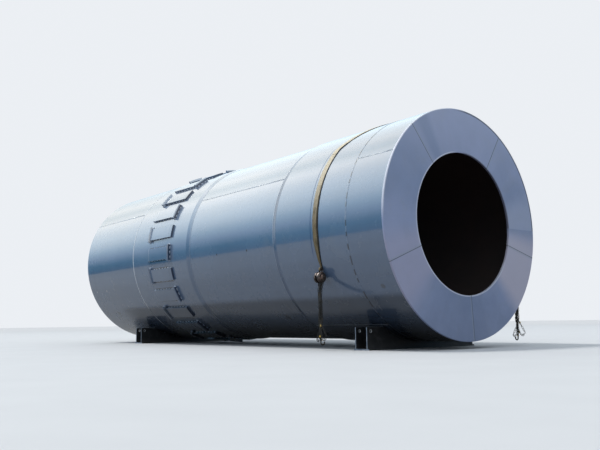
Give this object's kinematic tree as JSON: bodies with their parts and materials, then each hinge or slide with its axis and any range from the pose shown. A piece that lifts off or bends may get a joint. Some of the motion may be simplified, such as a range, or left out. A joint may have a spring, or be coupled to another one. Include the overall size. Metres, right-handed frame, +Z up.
{
  "type": "rotary kiln shell section in transport saddles",
  "caption": "Welded steel shell section of a rotary kiln with a flat end ring, a tyre seat of pads and stop blocks, resting in two steel saddles.",
  "frame": {"origin": "on the plane the saddles stand on, under the middle of the drum's length", "axes": "+X along the drum towards the end ring, +Z up"},
  "size_m": [10.16, 3.7478, 3.7788],
  "materials": {
    "shell_paint": "glossy blue-grey paint on rolled plate",
    "ring_paint": "satin blue-grey paint on flat plate",
    "pad_paint": "blue-grey paint over weld edges",
    "weld_paint": "painted weld cap",
    "saddle_paint": "black paint",
    "strap_webbing": "worn woven webbing",
    "lashing_steel": "dull dark steel"
  },
  "bodies": {
    "root": {"ring_course_upper_plate": "shell_paint", "ring_course_lower_plate": "shell_paint", "front_course_upper_plate": "shell_paint", "front_course_lower_plate": "shell_paint", "middle_course_upper_plate": "shell_paint", "middle_course_lower_plate": "shell_paint", "tyre_course_upper_plate": "shell_paint", "tyre_course_lower_plate": "shell_paint", "rear_course_upper_plate": "shell_paint", "rear_course_lower_plate": "shell_paint", "end_ring_segment_1": "ring_paint", "end_ring_segment_2": "ring_paint", "end_ring_segment_3": "ring_paint", "end_ring_segment_4": "ring_paint", "end_ring_segment_5": "ring_paint", "girth_weld_caps": "weld_paint", "lengthways_weld_caps": "weld_paint", "tyre_seat_pads_front_stop": "pad_paint", "tyre_seat_pads_rear_stop": "pad_paint", "front_stop_blocks": "pad_paint", "rear_stop_blocks": "pad_paint", "front_saddle_outer_web": "saddle_paint", "front_saddle_inner_web": "saddle_paint", "front_saddle_base": "saddle_paint", "front_saddle_seat": "saddle_paint", "front_saddle_ribs": "saddle_paint", "rear_saddle_outer_web": "saddle_paint", "rear_saddle_inner_web": "saddle_paint", "rear_saddle_base": "saddle_paint", "rear_saddle_seat": "saddle_paint", "rear_saddle_ribs": "saddle_paint", "lashing_strap": "strap_webbing", "chain_hoists": "lashing_steel", "lashing_chains": "lashing_steel", "chain_hooks": "lashing_steel"}
  },
  "joints": []
}
